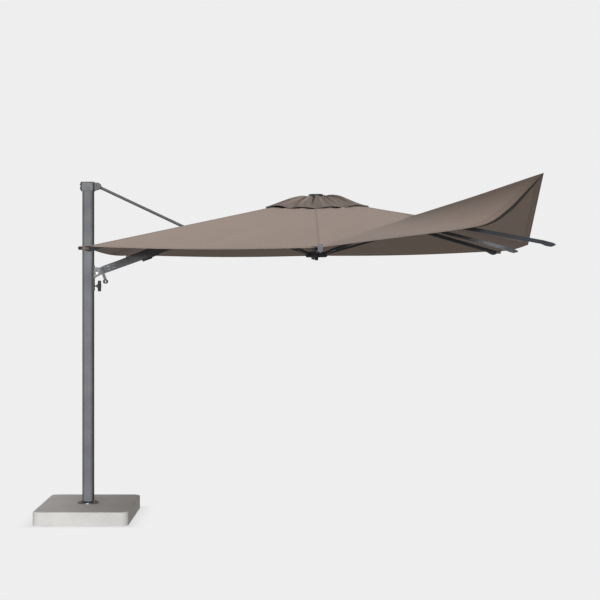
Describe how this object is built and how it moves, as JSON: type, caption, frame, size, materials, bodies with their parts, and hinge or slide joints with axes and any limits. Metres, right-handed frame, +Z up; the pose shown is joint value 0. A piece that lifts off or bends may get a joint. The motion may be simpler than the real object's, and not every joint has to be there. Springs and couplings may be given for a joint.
{
  "type": "cantilever parasol",
  "caption": "Square fabric parasol hung from a side mast by a pivoting arm and a brace, with folding ribs, a sliding foot, a crank and a slab base.",
  "frame": {"origin": "centre of the slab's underside, on the ground under the mast's axis", "axes": "+Z up the mast, +X along the arm towards the canopy, -Y the side with the crank"},
  "size_m": [3.5525, 3.0174, 2.445],
  "materials": {
    "frame_paint": "satin",
    "bracket_grey": "satin",
    "steel": "satin",
    "black_plastic": "matte",
    "canopy_fabric": "matte",
    "base_stone": "matte"
  },
  "bodies": {
    "base": {"base_slab": "base_stone", "base_spigot": "steel", "base_bolts": "steel", "swivel_ring": "black_plastic"},
    "mast": {"mast_tube": "frame_paint", "mast_bushes": "black_plastic", "mast_head": "frame_paint", "head_pin": "steel", "head_screws": "steel"},
    "brace": {"brace_tube": "frame_paint", "brace_eyes": "frame_paint"},
    "arm": {"arm_tube": "frame_paint", "arm_foot": "frame_paint", "arm_rail": "frame_paint", "brace_bracket": "frame_paint", "bracket_pin": "steel", "arm_tip": "frame_paint"},
    "slider": {"slider_carriage": "black_plastic", "slider_bracket": "bracket_grey", "slider_pin": "steel"},
    "lock_knob": {"lock_knob": "black_plastic"},
    "crank": {"winch_drum": "steel", "crank_lever": "frame_paint"},
    "crank_grip": {"crank_grip": "black_plastic"},
    "hub": {"top_hub": "black_plastic", "hub_bracket": "frame_paint", "hub_pulley": "black_plastic", "hub_pins": "steel", "crown_cap": "black_plastic", "vent_cap": "canopy_fabric"},
    "runner": {"runner": "black_plastic", "runner_pins": "steel"},
    "rib_near_left": {"rib_near_left": "frame_paint", "rib_tip_near_left": "black_plastic", "canopy_near_left": "canopy_fabric"},
    "strut_near_left": {"strut_near_left": "frame_paint"},
    "rib_near": {"rib_near": "frame_paint", "rib_tip_near": "black_plastic", "canopy_near": "canopy_fabric"},
    "strut_near": {"strut_near": "frame_paint"},
    "rib_near_right": {"rib_near_right": "frame_paint", "rib_tip_near_right": "black_plastic", "canopy_near_right": "canopy_fabric"},
    "strut_near_right": {"strut_near_right": "frame_paint"},
    "rib_right": {"rib_right": "frame_paint", "rib_tip_right": "black_plastic", "canopy_right": "canopy_fabric"},
    "strut_right": {"strut_right": "frame_paint"},
    "rib_far_right": {"rib_far_right": "frame_paint", "rib_tip_far_right": "black_plastic", "canopy_far_right": "canopy_fabric"},
    "strut_far_right": {"strut_far_right": "frame_paint"},
    "rib_far": {"rib_far": "frame_paint", "rib_tip_far": "black_plastic", "canopy_far": "canopy_fabric"},
    "strut_far": {"strut_far": "frame_paint"},
    "rib_far_left": {"rib_far_left": "frame_paint", "rib_tip_far_left": "black_plastic", "canopy_far_left": "canopy_fabric"},
    "strut_far_left": {"strut_far_left": "frame_paint"}
  },
  "joints": [
    {"name": "mast_swivel", "type": "hinge", "parent": "base", "child": "mast", "pos_m": [0, 0, 0.115], "axis": [0, 0, 1], "continuous": true},
    {"name": "stow", "type": "hinge", "parent": "mast", "child": "brace", "pos_m": [0.067, 0, 2.414], "axis": [0, 1, 0], "range_deg": [0, 60], "deforming": ["vent_cap"]},
    {"name": "arm_pivot", "type": "hinge", "parent": "brace", "child": "arm", "pos_m": [0.74278, 0, 2.096], "axis": [0, 1, 0], "range_deg": [-120, 0]},
    {"name": "slider_pivot", "type": "hinge", "parent": "arm", "child": "slider", "pos_m": [0.067, 0, 1.778], "axis": [0, 1, 0], "range_deg": [0, 60]},
    {"name": "hub_pivot", "type": "hinge", "parent": "arm", "child": "hub", "pos_m": [1.515, 0, 2.216], "axis": [0, 1, 0], "range_deg": [0, 60]},
    {"name": "lock_knob", "type": "hinge", "parent": "slider", "child": "lock_knob", "pos_m": [0.072, 0, 1.684], "axis": [1, 0, 0], "range_deg": [0, 360]},
    {"name": "crank", "type": "hinge", "parent": "arm", "child": "crank", "pos_m": [0.102, 0, 1.814], "axis": [0, 1, 0], "range_deg": [0, 3600]},
    {"name": "crank_grip", "type": "hinge", "parent": "crank", "child": "crank_grip", "pos_m": [0.136, -0.064, 1.717], "axis": [0, -1, 0], "continuous": true},
    {"name": "rib_near_left", "type": "hinge", "parent": "hub", "child": "rib_near_left", "pos_m": [1.61904, -0.04596, 2.29952], "axis": [0.7071, -0.7071, 0.0074], "range_deg": [0, 72], "deforming": ["canopy_near_left"]},
    {"name": "strut_near_left", "type": "hinge", "parent": "rib_near_left", "child": "strut_near_left", "pos_m": [1.11703, -0.55, 2.10325], "axis": [0.7071, -0.7071, 0.0074], "range_deg": [-144, 0]},
    {"name": "rib_near", "type": "hinge", "parent": "hub", "child": "rib_near", "pos_m": [1.665, -0.065, 2.3], "axis": [0.9999, 0, 0.0105], "range_deg": [0, 72], "deforming": ["canopy_near"]},
    {"name": "strut_near", "type": "hinge", "parent": "rib_near", "child": "strut_near", "pos_m": [1.667, -0.77782, 2.10901], "axis": [0.9999, 0, 0.0105], "range_deg": [-144, 0]},
    {"name": "rib_near_right", "type": "hinge", "parent": "hub", "child": "rib_near_right", "pos_m": [1.71096, -0.04596, 2.30048], "axis": [0.7071, 0.7071, 0.0074], "range_deg": [0, 72], "deforming": ["canopy_near_right"]},
    {"name": "strut_near_right", "type": "hinge", "parent": "rib_near_right", "child": "strut_near_right", "pos_m": [2.21697, -0.55, 2.11477], "axis": [0.7071, 0.7071, 0.0074], "range_deg": [-144, 0]},
    {"name": "rib_right", "type": "hinge", "parent": "hub", "child": "rib_right", "pos_m": [1.73, 0, 2.30068], "axis": [0, 1, 0], "range_deg": [0, 72], "deforming": ["canopy_right"]},
    {"name": "strut_right", "type": "hinge", "parent": "rib_right", "child": "strut_right", "pos_m": [2.44478, 0, 2.11716], "axis": [0, 1, 0], "range_deg": [-144, 0]},
    {"name": "rib_far_right", "type": "hinge", "parent": "hub", "child": "rib_far_right", "pos_m": [1.71096, 0.04596, 2.30048], "axis": [-0.7071, 0.7071, -0.0074], "range_deg": [0, 72], "deforming": ["canopy_far_right"]},
    {"name": "strut_far_right", "type": "hinge", "parent": "rib_far_right", "child": "strut_far_right", "pos_m": [2.21697, 0.55, 2.11477], "axis": [-0.7071, 0.7071, -0.0074], "range_deg": [-144, 0]},
    {"name": "rib_far", "type": "hinge", "parent": "hub", "child": "rib_far", "pos_m": [1.665, 0.065, 2.3], "axis": [-0.9999, 0, -0.0105], "range_deg": [0, 72], "deforming": ["canopy_far"]},
    {"name": "strut_far", "type": "hinge", "parent": "rib_far", "child": "strut_far", "pos_m": [1.667, 0.77782, 2.10901], "axis": [-0.9999, 0, -0.0105], "range_deg": [-144, 0]},
    {"name": "rib_far_left", "type": "hinge", "parent": "hub", "child": "rib_far_left", "pos_m": [1.61904, 0.04596, 2.29952], "axis": [-0.7071, -0.7071, -0.0074], "range_deg": [0, 72], "deforming": ["canopy_far_left"]},
    {"name": "strut_far_left", "type": "hinge", "parent": "rib_far_left", "child": "strut_far_left", "pos_m": [1.11703, 0.55, 2.10325], "axis": [-0.7071, -0.7071, -0.0074], "range_deg": [-144, 0]},
    {"name": "runner", "type": "hinge", "parent": "strut_right", "child": "runner", "pos_m": [1.734, 0, 1.9187], "axis": [0, 1, 0], "range_deg": [0, 72]}
  ],
  "couplings": [
    {"joint": "arm_pivot", "follows": "stow", "ratio": -2},
    {"joint": "slider_pivot", "follows": "stow", "ratio": 1},
    {"joint": "hub_pivot", "follows": "stow", "ratio": 1},
    {"joint": "crank", "follows": "stow", "ratio": 60},
    {"joint": "rib_near_left", "follows": "stow", "ratio": 1.2},
    {"joint": "strut_near_left", "follows": "stow", "ratio": -2.4},
    {"joint": "rib_near", "follows": "stow", "ratio": 1.2},
    {"joint": "strut_near", "follows": "stow", "ratio": -2.4},
    {"joint": "rib_near_right", "follows": "stow", "ratio": 1.2},
    {"joint": "strut_near_right", "follows": "stow", "ratio": -2.4},
    {"joint": "rib_right", "follows": "stow", "ratio": 1.2},
    {"joint": "strut_right", "follows": "stow", "ratio": -2.4},
    {"joint": "rib_far_right", "follows": "stow", "ratio": 1.2},
    {"joint": "strut_far_right", "follows": "stow", "ratio": -2.4},
    {"joint": "rib_far", "follows": "stow", "ratio": 1.2},
    {"joint": "strut_far", "follows": "stow", "ratio": -2.4},
    {"joint": "rib_far_left", "follows": "stow", "ratio": 1.2},
    {"joint": "strut_far_left", "follows": "stow", "ratio": -2.4},
    {"joint": "runner", "follows": "stow", "ratio": 1.2}
  ]
}
